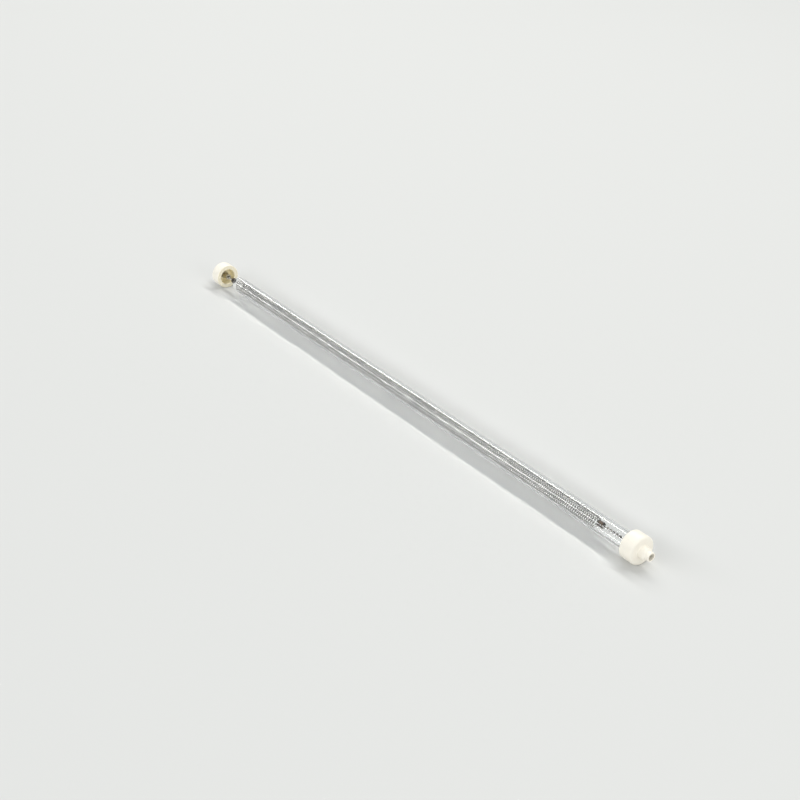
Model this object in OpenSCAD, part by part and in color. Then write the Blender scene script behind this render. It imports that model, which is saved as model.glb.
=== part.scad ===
// Quartz infrared heating element of a heat lamp warmer.
// The tube axis is the X axis, the supply end is at +X, the loose end is at -X, and the origin is the middle
// of the whole element. A clear quartz tube holds a wound resistance coil. At each end the coil's wire meets
// a twisted tail in a crimped ferrule, the tail is crimped in a terminal, and the terminal sits in a ceramic
// end cap. The cap at the supply end is seated on the tube. The other stands off it, and slides onto it as
// the coil gives way.

/* [Quartz tube] */
// Length of the quartz tube
tube_len = 500; // [120:1:900]
// Outside diameter of the quartz tube
tube_d = 12.7; // [12:0.1:15]
// Wall of the quartz tube
tube_wall = 1.05; // [0.8:0.05:1.2]
// Fire-polished edge of the tube ends
tube_edge = 0.25; // [0.1:0.05:0.35]

/* [Heating coil] */
// Length of the wound coil
coil_len = 463; // [90:1:860]
// Outside diameter of the coil
coil_d = 8.2; // [7:0.1:9]
// Diameter of the resistance wire
wire_d = 0.6; // [0.5:0.05:0.8]
// Number of turns wound
coil_turns = 240; // [40:1:420]
// Distance from the coil to the socket floor at the supply end
coil_in = 36; // [20:0.5:50]

/* [Twisted tails] */
// Diameter over the two twisted strands
tail_d = 2.2; // [1.6:0.1:2.6]
// Length of one full twist
tail_lay = 6; // [3:0.5:12]

/* [Splice ferrules] */
// Outside diameter of the ferrule that joins the coil's wire to a tail
splice_d = 4.4; // [4:0.1:5]
// Length of the ferrule
splice_len = 5; // [3:0.5:6]
// Bare wire between the coil and its ferrule at the supply end
near_wire_len = 0; // [0:0.5:8]
// Bare wire between the coil and its ferrule at the loose end
far_wire_len = 6; // [0:0.5:8]

/* [Ceramic caps] */
// Outside diameter of the cap body
cap_d = 20.5; // [19:0.5:30]
// Length of the cap body without its nose
cap_len = 11; // [10:0.5:20]
// Depth of the socket that takes the tube
socket_depth = 6.5; // [4:0.5:8]
// Radial clearance of the tube in its socket
socket_gap = 0.3; // [0.25:0.05:0.5]
// Bevel round the outer face of the cap
face_bevel = 1.5; // [0.5:0.1:2.5]
// Small bevel round the open face and the socket mouth
mouth_bevel = 0.5; // [0.2:0.1:0.8]

/* [Cap nose] */
// Diameter of the nose where it leaves the cap
nose_d = 9; // [8.2:0.1:12]
// Length of that thicker stretch of the nose
nose_base_len = 4; // [2:0.5:8]
// Diameter of the nose tip
nose_tip_d = 6.6; // [6.4:0.1:8]
// Length of the nose tip
nose_tip_len = 3; // [2:0.5:8]
// Length of the sloping shoulder between the two
nose_shoulder = 1; // [0.5:0.1:2]
// Bevel round the end of the nose
nose_bevel = 0.5; // [0.2:0.1:0.7]
// Bore through the nose
bore_d = 4.6; // [4.2:0.1:5]

/* [Terminals] */
// How far the terminal stops short of the nose end
terminal_recess = 3; // [1:0.5:5]
// Radial gap of the terminal shank in the bore, filled with cement
shank_gap = 0.02; // [0.01:0.01:0.1]
// Diameter of the terminal flange on the socket floor
flange_d = 7; // [6:0.1:8]
// Thickness of the terminal flange
flange_t = 1; // [0.6:0.1:1.5]
// Diameter of the crimp barrel
barrel_d = 5; // [4:0.1:5.4]
// Length of the crimp barrel
barrel_len = 8; // [5:0.5:12]
// Solid metal left between the crimp hole and the socket floor
barrel_root = 2; // [1:0.5:3]
// Minor diameter of the tapped hole in the outer end of the terminal
tap_d = 2.5; // [2:0.1:3]
// Depth of the tapped hole
tap_depth = 6; // [4:0.5:8]

/* [Loose end] */
// Gap from the open face of the loose cap to the end of the tube
cap_gap = 19; // [4:0.5:30]

/* [Hidden] */
$fn = 96;
end_play = 0.3; // between the seated tube end and the socket floor
coil_rest = 0.3; // between the coil and the bottom of the tube's bore
tail_gap = 0.1; // round a tail in its crimp hole
tail_short = 0.6; // from a tail's end to the bottom of its crimp hole
wire_in = 1; // how far the coil's wire reaches into a ferrule
twist_steps = 8; // slices in one full twist of a tail
sleeve_wall = 0.2; // wall of the coil's envelope between two turns
spoke_d = 0.9 * wire_d; // the wire's run to the axis is drawn a little thinner, so that it meets the rest cleanly
splice_edge = 0.25; // bevel round the outside ends of a ferrule
ceramic = "oldlace";
nickel = "darkkhaki";
resistance_wire = "gray";
oxide = "dimgray";

tube_bore = tube_d - 2 * tube_wall;
socket_d = tube_d + 2 * socket_gap;
crimp_d = tail_d + 2 * tail_gap;
web = cap_len - socket_depth; // ceramic between the socket floor and the outer face
nose_len = nose_base_len + nose_shoulder + nose_tip_len;
shank_len = web + nose_len - terminal_recess;
coil_pitch = (coil_len - wire_d) / coil_turns;
coil_drop = (tube_bore - coil_d) / 2 - coil_rest; // the coil lies low in the tube

// Places along X, worked out from the two socket floors inwards
floor_span = end_play + tube_len + cap_gap + socket_depth;
near_floor = floor_span / 2;
far_floor = -floor_span / 2;
tube_far_end = near_floor - end_play - tube_len;
coil_near_end = near_floor - coil_in;
coil_far_end = coil_near_end - coil_len;
near_splice_at = coil_in - near_wire_len; // from the socket floor to the ferrule's inner end
far_splice_at = coil_far_end - far_wire_len - far_floor;

// The pieces of an end are drawn with the socket floor at Z = 0 and the nose towards +Z
module at_near_end() translate([near_floor, 0, 0]) rotate([0, 90, 0]) children();
module at_far_end() translate([far_floor, 0, 0]) rotate([0, -90, 0]) children();

module quartz_tube() {
    color("lightcyan", 0.4)
    translate([tube_far_end, 0, 0]) rotate([0, 90, 0]) rotate_extrude() polygon([
        [tube_bore / 2 + tube_edge, 0],
        [tube_d / 2 - tube_edge, 0],
        [tube_d / 2, tube_edge],
        [tube_d / 2, tube_len - tube_edge],
        [tube_d / 2 - tube_edge, tube_len],
        [tube_bore / 2 + tube_edge, tube_len],
        [tube_bore / 2, tube_len - tube_edge],
        [tube_bore / 2, tube_edge]
    ]);
}

// Outline of one turn of the coil that starts at height x, as radius and height
function turn_outline(x) = [
    [coil_d / 2 - wire_d + sleeve_wall, x],
    [coil_d / 2, x + wire_d / 4],
    [coil_d / 2, x + wire_d * 3 / 4],
    [coil_d / 2 - wire_d + sleeve_wall, x + wire_d]
];

// The last turn's wire runs in to the axis, then straight into the ferrule
module coil_end(wire_len) {
    translate([0, 0, -wire_d / 2]) rotate([0, 90, 0])
        cylinder(d = spoke_d, h = coil_d / 2 - wire_d / 2 + coil_drop);
    translate([0, 0, -wire_d]) cylinder(d = wire_d, h = wire_d + wire_len + wire_in);
}

// The turns stand as ribs on a thin sleeve, one rib for each turn
module heating_coil() {
    color(resistance_wire)
    translate([coil_far_end, 0, 0]) rotate([0, 90, 0]) {
        translate([coil_drop, 0, 0]) rotate_extrude() polygon(concat(
            [[coil_d / 2 - wire_d, 0]],
            [for (turn = [0 : coil_turns]) each turn_outline(turn * coil_pitch)],
            [[coil_d / 2 - wire_d, coil_len]]
        ));
        translate([0, 0, coil_len]) coil_end(near_wire_len);
        mirror([0, 0, 1]) coil_end(far_wire_len);
    }
}

// Two strands twisted together, from the terminal's crimp hole into the ferrule
module tail(splice_at) {
    strand_d = tail_d / 2;
    start = barrel_root + tail_short;
    reach = splice_at - wire_in - tail_short - start;
    color(resistance_wire)
    translate([0, 0, -start - reach])
    linear_extrude(height = reach, twist = 360 * reach / tail_lay,
                   slices = ceil(twist_steps * reach / tail_lay), convexity = 4, $fn = 6)
        for (side = [-1, 1])
            translate([side * strand_d * 0.48, 0]) circle(d = strand_d);
}

// Ferrule with its inner end at the given distance from the socket floor
module splice(splice_at) {
    color(oxide) translate([0, 0, -splice_at]) rotate_extrude() polygon([
        [crimp_d / 2, 0],
        [splice_d / 2 - splice_edge, 0],
        [splice_d / 2, splice_edge],
        [splice_d / 2, splice_len - splice_edge],
        [splice_d / 2 - splice_edge, splice_len],
        [crimp_d / 2, splice_len]
    ]);
}

// Turned terminal: crimp barrel, flange on the socket floor, shank in the nose bore
module terminal() {
    color(nickel) difference() {
        union() {
            translate([0, 0, -barrel_len]) cylinder(d = barrel_d, h = barrel_len);
            translate([0, 0, -flange_t]) cylinder(d = flange_d, h = flange_t);
            cylinder(d = bore_d - 2 * shank_gap, h = shank_len);
        }
        translate([0, 0, -barrel_len - 1]) cylinder(d = crimp_d, h = barrel_len - barrel_root + 1);
        translate([0, 0, shank_len - tap_depth]) cylinder(d = tap_d, h = tap_depth + 1);
    }
}

module end_cap() {
    mouth = -socket_depth;
    tip = web + nose_len;
    color(ceramic) rotate_extrude() polygon([
        [socket_d / 2 + mouth_bevel, mouth],
        [cap_d / 2 - mouth_bevel, mouth],
        [cap_d / 2, mouth + mouth_bevel],
        [cap_d / 2, web - face_bevel],
        [cap_d / 2 - face_bevel, web],
        [nose_d / 2, web],
        [nose_d / 2, web + nose_base_len],
        [nose_tip_d / 2, web + nose_base_len + nose_shoulder],
        [nose_tip_d / 2, tip - nose_bevel],
        [nose_tip_d / 2 - nose_bevel, tip],
        [bore_d / 2, tip],
        [bore_d / 2, 0],
        [socket_d / 2, 0],
        [socket_d / 2, mouth + mouth_bevel]
    ]);
}

quartz_tube();
heating_coil();
at_near_end() tail(near_splice_at);  // near_tail
at_far_end() tail(far_splice_at);  // far_tail
at_near_end() splice(near_splice_at);  // near_splice
at_far_end() splice(far_splice_at);  // far_splice
at_near_end() terminal();  // near_terminal
at_far_end() terminal();  // far_terminal
at_near_end() end_cap();  // near_end_cap
at_far_end() end_cap();  // far_end_cap
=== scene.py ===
import math

import bmesh
import bpy
from mathutils import Euler, Matrix, Vector, noise


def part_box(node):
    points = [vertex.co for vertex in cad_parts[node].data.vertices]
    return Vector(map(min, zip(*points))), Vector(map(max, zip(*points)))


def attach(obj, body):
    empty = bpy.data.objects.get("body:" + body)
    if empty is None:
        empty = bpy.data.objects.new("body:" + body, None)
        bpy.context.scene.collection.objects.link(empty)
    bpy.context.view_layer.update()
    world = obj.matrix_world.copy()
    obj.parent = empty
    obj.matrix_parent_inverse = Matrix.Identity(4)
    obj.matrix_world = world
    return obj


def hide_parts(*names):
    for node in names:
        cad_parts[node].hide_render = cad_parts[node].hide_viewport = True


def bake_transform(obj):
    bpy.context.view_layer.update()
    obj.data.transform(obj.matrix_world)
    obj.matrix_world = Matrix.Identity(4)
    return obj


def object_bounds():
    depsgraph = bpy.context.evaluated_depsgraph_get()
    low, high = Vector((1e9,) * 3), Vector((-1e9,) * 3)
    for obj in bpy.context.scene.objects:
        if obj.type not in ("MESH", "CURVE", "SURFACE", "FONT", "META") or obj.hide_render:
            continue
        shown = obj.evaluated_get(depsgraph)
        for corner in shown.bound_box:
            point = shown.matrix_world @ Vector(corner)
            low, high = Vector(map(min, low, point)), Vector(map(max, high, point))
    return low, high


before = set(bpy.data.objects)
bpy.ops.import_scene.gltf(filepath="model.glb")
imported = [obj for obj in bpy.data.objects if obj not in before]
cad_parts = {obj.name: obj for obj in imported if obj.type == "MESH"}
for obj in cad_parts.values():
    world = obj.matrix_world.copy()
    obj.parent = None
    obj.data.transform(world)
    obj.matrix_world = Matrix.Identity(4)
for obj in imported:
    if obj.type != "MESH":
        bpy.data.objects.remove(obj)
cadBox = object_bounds()
print("frame loaded:", len(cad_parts), "CAD nodes")

mm = 0.001
weld = 1e-7  # points closer than this are one point
fullTurn = 2 * math.pi
shankEnd = 9.5  # from the socket floor to the terminal's outer end
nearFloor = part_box("near_terminal")[1].x - shankEnd * mm
farFloor = -nearFloor


# Shader building: a Link is a socket that takes part in sums, a Finish is a material being wired up

class Link:
    def __init__(self, finish, socket):
        self.finish = finish
        self.socket = socket

    def maths(self, operation, *others):
        values = {i: v for i, v in enumerate(others)}
        return self.finish.add("ShaderNodeMath", {"operation": operation}, values)

    def __add__(self, other):
        return self.maths("ADD", self, other)

    def __sub__(self, other):
        return self.maths("SUBTRACT", self, other)

    def __rsub__(self, other):
        return self.maths("SUBTRACT", other, self)

    def __mul__(self, other):
        return self.maths("MULTIPLY", self, other)

    def __pow__(self, other):
        return self.maths("POWER", self, other)

    __radd__ = __add__
    __rmul__ = __mul__

    def size(self):
        return self.maths("ABSOLUTE", self)

    def above(self, start, end):  # 0 at start and 1 at end, either way round
        settings = {"interpolation_type": "SMOOTHSTEP"}
        values = {"Value": self, "From Min": start, "From Max": end}
        return self.finish.add("ShaderNodeMapRange", settings, values)


class Finish:
    def __init__(self, name, **fixed):
        self.material = bpy.data.materials.new(name)
        self.material.use_nodes = True
        self.tree = self.material.node_tree
        self.shader = self.tree.nodes["Principled BSDF"]
        self.place = self.add("ShaderNodeTexCoord", out="Object")
        for socket, value in fixed.items():
            self.shader.inputs[socket.replace("_", " ")].default_value = value

    def add(self, kind, settings=None, values=None, out=0):
        node = self.tree.nodes.new(kind)
        for key, value in (settings or {}).items():
            setattr(node, key, value)
        for key, value in (values or {}).items():
            self.join(node.inputs[key], value)
        return Link(self, node.outputs[out])

    def join(self, socket, value):
        if isinstance(value, Link):
            self.tree.links.new(value.socket, socket)
        elif hasattr(socket.default_value, "__len__") and len(socket.default_value) == 4 and len(value) == 3:
            socket.default_value = (*value, 1.0)
        else:
            socket.default_value = value

    def feed(self, **links):
        for socket, value in links.items():
            self.join(self.shader.inputs[socket.replace("_", " ")], value)

    def noise(self, scale, detail=3.0, roughness=0.55, place=None):
        values = {"Vector": place or self.place, "Scale": scale, "Detail": detail, "Roughness": roughness}
        return self.add("ShaderNodeTexNoise", None, values)

    def spots(self, scale, place=None):
        values = {"Vector": place or self.place, "Scale": scale}
        return self.add("ShaderNodeTexVoronoi", {"feature": "F1"}, values, out="Distance")

    def stretched(self, x, y, z):
        values = {"Vector": self.place, "Scale": (x, y, z)}
        return self.add("ShaderNodeMapping", {"vector_type": "POINT"}, values)

    def mixed(self, amount, first, second):
        node = self.tree.nodes.new("ShaderNodeMix")
        node.data_type = "RGBA"
        for socket, value in zip((node.inputs[0], node.inputs[6], node.inputs[7]), (amount, first, second)):
            self.join(socket, value)
        return Link(self, node.outputs[2])

    def axes(self):
        parts = self.tree.nodes.new("ShaderNodeSeparateXYZ")
        self.tree.links.new(self.place.socket, parts.inputs[0])
        return [Link(self, parts.outputs[i]) for i in range(3)]

    def bump(self, height, strength, depth):
        values = {"Height": height, "Strength": strength, "Distance": depth}
        return self.add("ShaderNodeBump", None, values)


# Modelling helpers. A profile lists (x, radius, rounding) in millimetres, x outwards from the socket floor

def spun(profile, closed=True, steps=128, roundSegments=4):
    bm = bmesh.new()
    corners = [bm.verts.new((x * mm, 0, r * mm)) for x, r, _ in profile]
    pairs = list(zip(corners, corners[1:]))
    if closed:
        pairs.append((corners[-1], corners[0]))
    for pair in pairs:
        bm.edges.new(pair)
    for corner, (_, _, rounding) in zip(corners, profile):
        if rounding:
            bmesh.ops.bevel(bm, geom=[corner], offset=rounding * mm, offset_type="OFFSET",
                            segments=roundSegments, profile=0.5, affect="VERTICES", material=-1)
    bmesh.ops.spin(bm, geom=bm.verts[:] + bm.edges[:], cent=(0, 0, 0), axis=(1, 0, 0),
                   dvec=(0, 0, 0), angle=fullTurn, steps=steps, use_merge=True)
    bmesh.ops.remove_doubles(bm, verts=bm.verts, dist=weld)
    return bm


def finished(bm, name, body, node, material, move=None, sharp=38):
    if move is not None:
        bmesh.ops.transform(bm, matrix=move, verts=bm.verts)
    bmesh.ops.recalc_face_normals(bm, faces=bm.faces)
    mesh = bpy.data.meshes.new(name)
    bm.to_mesh(mesh)
    bm.free()
    mesh.shade_smooth()
    mesh.set_sharp_from_angle(angle=math.radians(sharp))
    mesh.materials.append(material)
    piece = bpy.data.objects.new(name, mesh)
    bpy.context.scene.collection.objects.link(piece)
    if body:
        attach(piece, body)
    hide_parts(node)
    return piece


def dent(bm, x, angle, depth, length, spread):  # presses a soft hollow into a round piece, all in millimetres
    for v in bm.verts:
        radius = math.hypot(v.co.y, v.co.z)
        if radius < 1.6 * mm:  # the crimp hole stays round
            continue
        off = math.atan2(v.co.z, v.co.y) - angle
        off = math.atan2(math.sin(off), math.cos(off))
        amount = math.exp(-((v.co.x / mm - x) / length) ** 4 - (off / spread) ** 2) * depth * mm
        v.co.y -= v.co.y / radius * amount
        v.co.z -= v.co.z / radius * amount


atNear = Matrix.Translation((nearFloor, 0, 0))
atFar = Matrix.Translation((farFloor, 0, 0)) @ Matrix.Rotation(math.pi, 4, "Z")
ends = {
    "near": {"place": atNear, "body": "supply_end"},
    "far": {"place": atFar, "body": "loose_end"},
}


# Ceramic end caps

cap = {
    "radius": 10.25,
    "faceAt": 4.5,
    "mouthAt": -6.5,
    "socketRadius": 6.65,
    "noseRadius": 4.5,
    "noseBaseEnd": 8.5,
    "shoulderEnd": 9.5,
    "tipRadius": 3.3,
    "tipEnd": 12.5,
    "boreRadius": 2.3,
    "ripple": 0.03,
    "steatite": (0.93, 0.885, 0.79),
    # painted light: warm bounce light for the socket walls and mouth rim, not a colour of the ceramic
    "paintedWarmBounce": (1.0, 0.89, 0.56),
}


def steatiteFinish():
    f = Finish("steatite", Coat_Roughness=0.35, Specular_IOR_Level=0.45)
    x, y, z = f.axes()
    radius = (y * y + z * z) ** 0.5
    along = x.size() - nearFloor  # from the socket floor outwards, the same at both ends
    cloud = f.noise(260, 4)
    blotch = f.noise(90, 2)
    grain = f.noise(2600, 2)
    pores = f.spots(1900).above(0.16, 0.05)
    specks = f.spots(620).above(0.10, 0.03) * blotch.above(0.45, 0.6)
    inMouth = along.above((cap["mouthAt"] + 0.45) * mm, (cap["mouthAt"] + 0.1) * mm)
    bore = radius.above((cap["socketRadius"] + 0.35) * mm, cap["socketRadius"] * mm)
    inSocket = bore * along.above(0.9 * mm, 0.2 * mm)
    # painted light: the mouth rim and socket walls are tinted warm yellow to stand in for light bouncing
    # inside the socket
    paintedWarmBounce = (inMouth * 0.42 + inSocket * 0.7) * (0.75 + blotch * 0.5)
    colour = f.mixed(cloud.above(0.35, 0.7) * 0.5, cap["steatite"], [c * 0.965 for c in cap["steatite"]])
    colour = f.mixed(paintedWarmBounce, colour, cap["paintedWarmBounce"])
    scuff = radius.above((cap["radius"] - 0.5) * mm, cap["radius"] * mm) * f.noise(420, 4).above(0.60, 0.70)
    colour = f.mixed(scuff * 0.18, colour, (0.50, 0.49, 0.46))
    colour = f.mixed(specks * 0.55, colour, (0.42, 0.32, 0.20))
    colour = f.mixed(pores * 0.16, colour, (0.55, 0.48, 0.38))
    f.feed(
        Base_Color=colour,
        Roughness=0.42 + cloud * 0.16 + pores * 0.2,
        Coat_Weight=0.16 - scuff * 0.1,
        Normal=f.bump(grain * 0.5 + cloud * 0.6 - pores * 0.7, 0.35, 0.00006),
    )
    return f.material


def endCap(end, material):
    bm = spun([
        (cap["mouthAt"], cap["socketRadius"], 0.5),
        (cap["mouthAt"], cap["radius"], 0.6),
        (cap["faceAt"], cap["radius"], 1.7),
        (cap["faceAt"], cap["noseRadius"], 0.45),
        (cap["noseBaseEnd"], cap["noseRadius"], 0.35),
        (cap["shoulderEnd"], cap["tipRadius"], 0.4),
        (cap["tipEnd"], cap["tipRadius"], 0.6),
        (cap["tipEnd"], cap["boreRadius"], 0.25),
        (0, cap["boreRadius"], 0.1),
        (0, cap["socketRadius"], 0.5),
    ], roundSegments=6)
    for v in bm.verts:  # a pressed and fired piece is never quite round
        pull = 1 - cap["ripple"] * mm * (1 + noise.noise(v.co * 120)) / cap["radius"] / mm
        v.co.y *= pull
        v.co.z *= pull
    place = ends[end]["place"]
    return finished(bm, f"{end}EndCap", ends[end]["body"], f"{end}_end_cap", material, place)


steatite = steatiteFinish()
for end in ends:
    endCap(end, steatite)
print("end caps made")


# Terminals: crimp barrel, flange, shank and tapped hole

terminal = {
    "barrelRadius": 2.5,
    "barrelLength": 8.0,
    "crimpRadius": 1.2,
    "crimpBottom": -2.0,
    "flangeRadius": 3.5,
    "flangeThick": 1.0,
    "shankRadius": 2.28,
    "tapRadius": 1.25,
    "tapBottom": 3.5,
    "threadPitch": 0.5,
    "threadDepth": 0.22,
    "nickel": (0.60, 0.56, 0.44),
    "tarnish": (0.30, 0.25, 0.17),
    # painted shade for the tapped hole at the terminal's outer end
    "paintedHoleShade": (0.07, 0.065, 0.05),
}


def nickelFinish():
    f = Finish("dullNickel", Metallic=1.0)
    x, y, z = f.axes()
    radius = (y * y + z * z) ** 0.5
    cloud = f.noise(500, 4)
    tarnish = f.noise(240, 5, 0.65).above(0.42, 0.68)
    turned = f.add("ShaderNodeMath", {"operation": "SINE"}, {0: (x + radius) * 42000 + cloud * 6})
    colour = f.mixed(tarnish * 0.65, terminal["nickel"], terminal["tarnish"])
    holeShadeMask = (x.size() - nearFloor).above(5.5 * mm, 8.5 * mm)  # the outer end and the tapped hole are darkened: painted shade for the hole
    colour = f.mixed(holeShadeMask, colour, terminal["paintedHoleShade"])
    f.feed(
        Base_Color=colour,
        Roughness=0.34 + cloud * 0.2 + tarnish * 0.12,
        Normal=f.bump(turned * 0.5 + f.noise(3000, 2), 0.25, 0.00003),
    )
    return f.material


def terminalPiece(end, material):
    t = terminal
    threads = []
    grooves = int((shankEnd - t["tapBottom"] - 0.5) / t["threadPitch"])
    for i in range(grooves):
        at = t["tapBottom"] + 0.2 + i * t["threadPitch"]
        crest = (at, t["tapRadius"], 0)
        root = (at + t["threadPitch"] / 2, t["tapRadius"] + t["threadDepth"], 0)
        threads += [crest, root]
    barrel = [(-t["barrelLength"] + 0.45 * i, t["barrelRadius"], 0) for i in range(1, 15)]
    bm = spun(
        [(t["tapBottom"] - 0.7, 0, 0), (t["tapBottom"], t["tapRadius"], 0)]
        + threads
        + [
            (shankEnd - 0.25, t["tapRadius"], 0),
            (shankEnd, t["tapRadius"] + 0.28, 0),
            (shankEnd, t["shankRadius"], 0.2),
            (0, t["shankRadius"], 0),
            (0, t["flangeRadius"], 0.12),
            (-t["flangeThick"], t["flangeRadius"], 0.2),
            (-t["flangeThick"], t["barrelRadius"], 0.15),
        ]
        + barrel[::-1]
        + [
            (-t["barrelLength"], t["barrelRadius"], 0.3),
            (-t["barrelLength"], t["crimpRadius"], 0.2),
            (t["crimpBottom"], t["crimpRadius"], 0),
            (t["crimpBottom"] + 0.6, 0, 0),
        ],
        closed=False, steps=72,
    )
    for angle in (0.5 * math.pi, -0.5 * math.pi):
        dent(bm, -5.2, angle, 0.62, 1.3, 0.62)
    name, place = f"{end}Terminal", ends[end]["place"]
    return finished(bm, name, ends[end]["body"], f"{end}_terminal", material, place)


nickel = nickelFinish()
for end in ends:
    terminalPiece(end, nickel)
print("terminals made")


# Splice ferrules

ferrule = {
    "radius": 2.2,
    "bore": 1.2,
    "length": 5.0,
    "nearAt": 36.0,
    "farAt": 20.8,
    "oxide": (0.075, 0.068, 0.060),
    "rust": (0.17, 0.11, 0.07),
}


def oxideFinish():
    f = Finish("ferruleOxide", Metallic=0.75)
    cloud = f.noise(520, 5, 0.65)
    scale = f.noise(1900, 3)
    colour = f.mixed(cloud.above(0.45, 0.7), ferrule["oxide"], ferrule["rust"])
    colour = f.mixed(scale.above(0.62, 0.75) * 0.5, colour, (0.30, 0.28, 0.25))
    f.feed(
        Base_Color=colour,
        Roughness=0.45 + cloud * 0.25,
        Normal=f.bump(scale + cloud, 0.4, 0.00008),
    )
    return f.material


def splicePiece(end, material):
    at, length, radius = ferrule[f"{end}At"], ferrule["length"], ferrule["radius"]
    rings = [(-at + 0.3 + 0.4 * i, radius, 0) for i in range(1, 11)]
    bm = spun(
        [(-at, ferrule["bore"], 0.25), (-at, radius, 0.4)] + rings
        + [(-at + length, radius, 0.4), (-at + length, ferrule["bore"], 0.25)],
        steps=56,
    )
    for x in (1.55, 3.45):
        for angle in (0.35 * math.pi, -0.65 * math.pi):
            dent(bm, -at + x, angle, 0.5, 0.72, 0.75)
    name, place = f"{end}Splice", ends[end]["place"]
    return finished(bm, name, ends[end]["body"], f"{end}_splice", material, place)


oxide = oxideFinish()
for end in ends:
    splicePiece(end, oxide)
print("splices made")


# Twisted tails and the coil, in the same resistance wire

wire = {
    "strand": 1.1,
    "lay": 6.0,
    "strandOff": 0.53,
    "tailStart": -2.6,
    "intoFerrule": 1.6,
    "bright": (0.52, 0.51, 0.495),
    "dull": (0.27, 0.26, 0.24),
    "blued": (0.24, 0.25, 0.275),
}


def wireFinish():
    f = Finish("resistanceWire", Metallic=0.95)
    long = f.noise(55, 3)
    patch = f.noise(700, 4)
    drawn = f.noise(5200, 2)
    colour = f.mixed(patch.above(0.38, 0.66), wire["bright"], wire["dull"])
    colour = f.mixed(long.above(0.52, 0.66) * 0.45, colour, wire["blued"])
    f.feed(
        Base_Color=colour,
        Roughness=0.16 + patch * 0.16,
        Normal=f.bump(drawn, 0.2, 0.00002),
    )
    return f.material


def tailPiece(end, material):
    at = ferrule[f"{end}At"]
    reach = at - wire["intoFerrule"] + wire["tailStart"]
    turns = reach / wire["lay"]
    steps = round(turns * 22)
    lean = math.atan2(fullTurn * wire["strandOff"], wire["lay"])
    bm = bmesh.new()
    for half in (0, math.pi):
        loop = bmesh.ops.create_circle(bm, segments=12, radius=wire["strand"] / 2 * mm)["verts"]
        start = Matrix.Translation((wire["tailStart"] * mm, 0, wire["strandOff"] * mm))
        lay = Matrix.Rotation(half, 4, "X") @ start
        lay = lay @ Matrix.Rotation(-lean, 4, "Z") @ Matrix.Rotation(math.pi / 2, 4, "Y")
        bmesh.ops.transform(bm, matrix=lay, verts=loop)
        edges = list({e for v in loop for e in v.link_edges})
        bmesh.ops.spin(bm, geom=loop + edges, cent=(0, 0, 0), axis=(1, 0, 0),
                       dvec=(-reach / steps * mm, 0, 0), angle=-fullTurn * turns, steps=steps)
    rims = [e for e in bm.edges if e.is_boundary]
    bmesh.ops.holes_fill(bm, edges=rims, sides=12)
    name, place = f"{end}Tail", ends[end]["place"]
    return finished(bm, name, ends[end]["body"], f"{end}_tail", material, place)


resistanceWire = wireFinish()
for end in ends:
    tailPiece(end, resistanceWire)
print("tails made")

wireRadius = 0.3

coil = {
    "radius": 4.1 - wireRadius,
    "turns": 240,
    "drop": 0.9,
    "nearEnd": nearFloor / mm - ferrule["nearAt"],
    "length": 463.0,
    "farWire": 6.0,
    "intoFerrule": 1.0,
    "perTurn": 22,
    "unevenness": 0.35,
}


def coilPoints():
    c = coil
    first, last = c["nearEnd"] - wireRadius, c["nearEnd"] - c["length"] + wireRadius
    steps = c["turns"] * c["perTurn"]
    points = [(c["nearEnd"] + c["intoFerrule"], 0, 0), (c["nearEnd"] + 0.3, 0, 0)]
    for i in range(steps + 1):
        share = i / steps
        angle = -math.pi / 2 + fullTurn * i / c["perTurn"]
        wander = math.sin(share * 61) + 0.6 * math.sin(share * 143 + 1.3)
        wander *= min(1, 12 * share, 12 * (1 - share))  # both ends stay where they are joined
        x = first + (last - first) * share + c["unevenness"] * wander
        away = min(i, steps - i) / (0.5 * c["perTurn"])  # the last half turn winds in to the axis
        out = 1 if away >= 1 else (math.sin((away - 0.5) * math.pi) + 1) / 2
        radius = c["radius"] * out
        points.append((x, radius * math.cos(angle), radius * math.sin(angle) - c["drop"] * out))
    far = c["nearEnd"] - c["length"]
    for beyond in (0.3, c["farWire"] / 2, c["farWire"] + c["intoFerrule"]):
        points.append((far - beyond, 0, 0))
    return points


def coilPiece(material):
    curve = bpy.data.curves.new("coilPath", "CURVE")
    curve.dimensions = "3D"
    curve.bevel_depth = wireRadius * mm
    curve.bevel_resolution = 2
    curve.use_fill_caps = True
    path = coilPoints()
    spline = curve.splines.new("POLY")
    spline.points.add(len(path) - 1)
    for point, place in zip(spline.points, path):
        point.co = (place[0] * mm, place[1] * mm, place[2] * mm, 1)
    winding = bpy.data.objects.new("coilPath", curve)
    bpy.context.scene.collection.objects.link(winding)
    bpy.context.view_layer.update()
    shape = bpy.data.meshes.new_from_object(winding.evaluated_get(bpy.context.evaluated_depsgraph_get()))
    bpy.data.objects.remove(winding)
    bm = bmesh.new()
    bm.from_mesh(shape)
    bpy.data.meshes.remove(shape)
    bmesh.ops.remove_doubles(bm, verts=bm.verts, dist=weld)
    piece = finished(bm, "heatingCoil", None, "heating_coil", material, sharp=60)
    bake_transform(piece)
    return piece


coilPiece(resistanceWire)
print("coil wound")


# Quartz tube

tube = {
    "radius": 6.35,
    "wall": 1.05,
    "farEnd": -500.3,
    "nearEnd": -0.3,
    "edge": 0.35,
}


def quartzFinish():
    f = Finish("clearQuartz", Base_Color=(0.985, 0.99, 0.99, 1), Transmission_Weight=1.0, IOR=1.458)
    drawn = f.noise(900, 2, place=f.stretched(0.012, 1, 1))
    cords = f.noise(240, 2, place=f.stretched(0.03, 1, 1))
    bloom = f.noise(70, 4).above(0.5, 0.8)
    f.feed(
        Roughness=bloom * 0.012,
        Normal=f.bump(drawn * 0.4 + cords, 0.04, 0.00012),
    )
    return f.material


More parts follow.
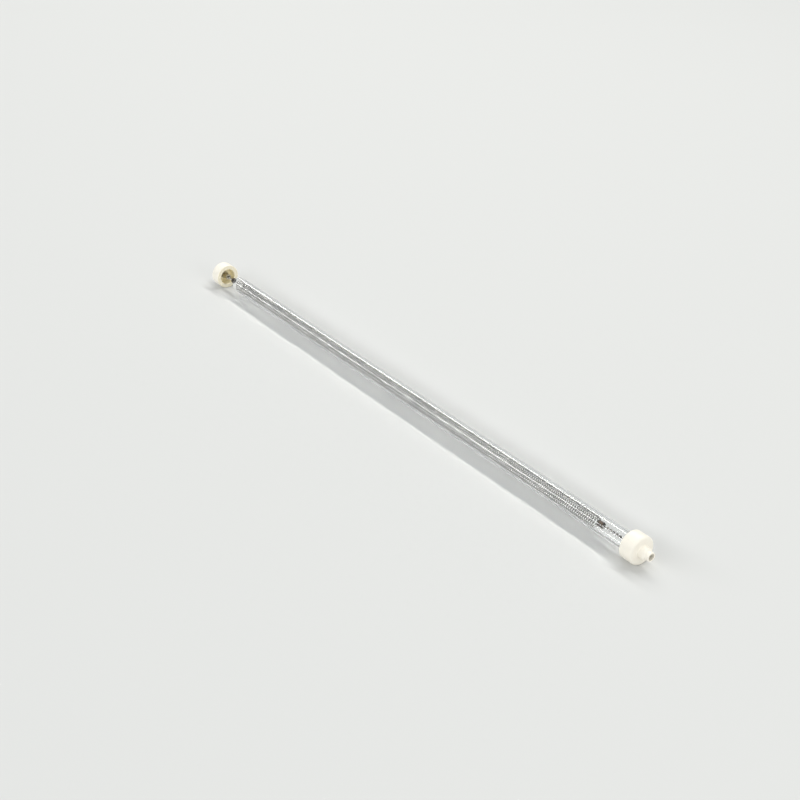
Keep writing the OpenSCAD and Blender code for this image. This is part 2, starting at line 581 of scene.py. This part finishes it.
def tubePiece(material):
    t = tube
    inner = t["radius"] - t["wall"]
    slices = [t["farEnd"] + 12.5 * i for i in range(1, 40)]
    bm = spun(
        [(t["farEnd"], inner, t["edge"]), (t["farEnd"], t["radius"], t["edge"])]
        + [(x, t["radius"], 0) for x in slices]
        + [(t["nearEnd"], t["radius"], t["edge"]), (t["nearEnd"], inner, t["edge"])]
        + [(x, inner, 0) for x in slices[::-1]],
        steps=96,
    )
    return finished(bm, "quartzTube", "tube", "quartz_tube", material, atNear)


tubePiece(quartzFinish())
print("tube drawn")


# Stage, lights and camera

studio = {
    "floorSize": 40.0,
    "floorTone": (0.655, 0.66, 0.655),
    "worldTone": (0.97, 1.0, 0.985),
    "worldStrength": 0.44,
    "keyAt": (-1.3, 1.5, 2.6),
    "keySize": (6.0, 0.45),
    "keyPower": 92.0,
    "keyTone": (1.0, 0.99, 0.965),
    "sideAt": (2.4, -0.1, 0.8),
    "sideSize": (1.2, 0.8),
    "sidePower": 14.0,
    "frontAt": (-1.3, -2.5, 1.4),
    "frontSize": (6.0, 0.5),
    "frontPower": 57.0,
}


def floorFinish():
    f = Finish("paleSweep", Specular_IOR_Level=0.25)
    cloud = f.noise(1.3, 2)
    f.feed(
        Base_Color=f.mixed(cloud * 0.5, studio["floorTone"], [c * 0.985 for c in studio["floorTone"]]),
        Roughness=0.6 + cloud * 0.1,
    )
    return f.material


def makeStage():
    bm = bmesh.new()
    bmesh.ops.create_grid(bm, x_segments=1, y_segments=1, size=studio["floorSize"] / 2)
    bmesh.ops.translate(bm, verts=bm.verts, vec=(0, 0, cadBox[0].z - 0.02 * mm))
    mesh = bpy.data.meshes.new("sweep")
    bm.to_mesh(mesh)
    bm.free()
    mesh.materials.append(floorFinish())
    floor = bpy.data.objects.new("sweep", mesh)
    bpy.context.scene.collection.objects.link(floor)
    world = bpy.data.worlds.new("studio")
    bpy.context.scene.world = world
    world.use_nodes = True
    background = world.node_tree.nodes["Background"]
    background.inputs["Color"].default_value = (*studio["worldTone"], 1)
    background.inputs["Strength"].default_value = studio["worldStrength"]


def softbox(name, at, size, power, tone=(1, 1, 1), targetX=0):  # faces the tube's axis at targetX
    light = bpy.data.lights.new(name, "AREA")
    light.shape = "RECTANGLE"
    light.size, light.size_y = size
    light.energy = power
    light.color = tone
    lamp = bpy.data.objects.new(name, light)
    lamp.location = at
    lamp.rotation_euler = (Vector((targetX, 0, 0)) - Vector(at)).to_track_quat("-Z", "Y").to_euler()
    bpy.context.scene.collection.objects.link(lamp)


view = {
    "place": (0.79131, -0.56217, 0.52072),
    "downward": 28.687,
    "heading": 54.42,
    "sensor": 36.0,
    "focal": 1.8125,  # in widths of the picture
}


def makeCamera():
    camera = bpy.data.cameras.new("camera")
    camera.sensor_width = view["sensor"]
    camera.lens = view["focal"] * view["sensor"]
    camera.clip_start, camera.clip_end = 0.01, 50
    viewer = bpy.data.objects.new("camera", camera)
    viewer.location = view["place"]
    viewer.rotation_euler = Euler((math.radians(90 - view["downward"]), 0, math.radians(view["heading"])))
    bpy.context.scene.collection.objects.link(viewer)
    bpy.context.scene.camera = viewer


makeStage()
keyX, frontX = studio["keyAt"][0], studio["frontAt"][0]
softbox("keyLight", studio["keyAt"], studio["keySize"], studio["keyPower"], studio["keyTone"], keyX)
softbox("sideLight", studio["sideAt"], studio["sideSize"], studio["sidePower"])
softbox("frontLight", studio["frontAt"], studio["frontSize"], studio["frontPower"], targetX=frontX)
makeCamera()
bpy.context.scene.view_settings.view_transform = "Standard"
bpy.context.scene.cycles.blur_glossy = 0.0  # no softening of the light seen through the tube
print("stage set")
